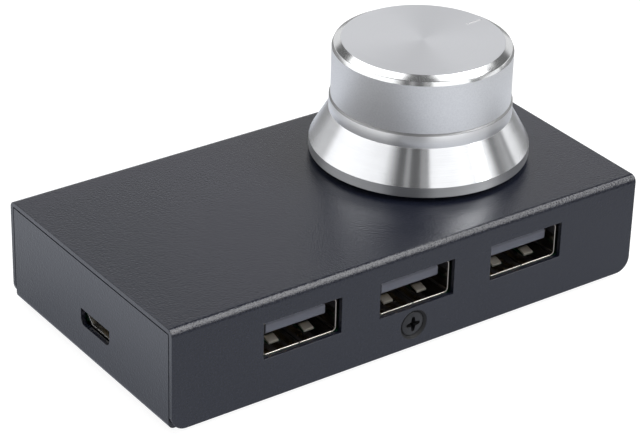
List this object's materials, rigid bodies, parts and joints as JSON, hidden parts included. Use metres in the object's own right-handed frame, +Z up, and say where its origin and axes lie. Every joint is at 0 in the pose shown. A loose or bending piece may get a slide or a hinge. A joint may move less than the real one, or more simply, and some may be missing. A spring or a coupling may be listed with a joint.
{
  "type": "desk volume control",
  "caption": "Low folded-metal box with a large turned rotary knob on top that also presses in, USB-A sockets in the front wall and a micro-USB inlet in one end.",
  "frame": {"origin": "midway along and across the case, on the plane that the feet stand on", "axes": "+X along the case to the right, away from the micro-USB end; +Y to the rear, away from the USB-A sockets; +Z up along the knob's axis"},
  "size_m": [0.0852, 0.0454, 0.0369],
  "materials": {
    "case": "satin black powder coat",
    "foot": "matte",
    "black_screw": "black oxide",
    "steel": "plain",
    "brass": "plain",
    "board": "solder mask",
    "socket_shell": "plated",
    "black_plastic": "moulded",
    "tongue_plastic": "moulded",
    "white_plastic": "moulded",
    "green_plastic": "moulded",
    "gold": "gold plated",
    "knob": "turned and bead blasted",
    "chip": "moulded",
    "aluminium_can": "plain",
    "ceramic": "fired"
  },
  "bodies": {
    "case": {"top_cover": "case", "bottom_tray": "case", "foot_front_left": "foot", "foot_front_right": "foot", "foot_rear_left": "foot", "foot_rear_right": "foot", "case_screws": "black_screw", "board_standoffs": "brass", "board_screws": "steel", "circuit_board": "board", "micro_usb_shell": "socket_shell", "micro_usb_insulator": "black_plastic", "micro_usb_contacts": "gold", "encoder_frame": "steel", "encoder_bushing": "brass", "detent_spring": "gold", "encoder_base": "black_plastic", "encoder_terminals": "gold", "switch_base": "black_plastic", "switch_dome": "steel", "switch_terminals": "gold", "panel_washer": "steel", "panel_nut": "steel", "hub_chip": "chip", "audio_chip": "chip", "hub_crystal": "socket_shell", "audio_crystal": "socket_shell", "smoothing_capacitor_left": "aluminium_can", "smoothing_capacitor_right": "aluminium_can", "ceramic_capacitors": "ceramic", "chip_resistors": "chip", "port_fuses": "green_plastic", "usb_shell_left": "socket_shell", "usb_insulator_left": "tongue_plastic", "usb_contacts_left": "gold", "usb_shell_middle": "socket_shell", "usb_insulator_middle": "tongue_plastic", "usb_contacts_middle": "gold", "usb_shell_right": "socket_shell", "usb_insulator_right": "tongue_plastic", "usb_contacts_right": "gold"},
    "rotor": {"encoder_rotor": "black_plastic"},
    "knob": {"encoder_shaft": "steel", "knob_shell": "knob", "knob_insert": "black_plastic"},
    "plunger": {"switch_plunger": "white_plastic"}
  },
  "joints": [
    {"name": "knob_turn", "type": "hinge", "parent": "case", "child": "rotor", "pos_m": [0.0193, 0.00266, 0.0112], "axis": [0, 0, 1], "continuous": true},
    {"name": "knob_press", "type": "slide", "parent": "rotor", "child": "knob", "axis": [0, 0, -1], "range_m": [0, 0.0005], "stiffness_N_per_m": 3000, "springref_m": -0.001},
    {"name": "plunger_press", "type": "slide", "parent": "case", "child": "plunger", "axis": [0, 0, -1], "range_m": [0, 0.0005], "deforming": ["switch_dome"]}
  ],
  "couplings": [
    {"joint": "plunger_press", "follows": "knob_press", "ratio": 1}
  ]
}
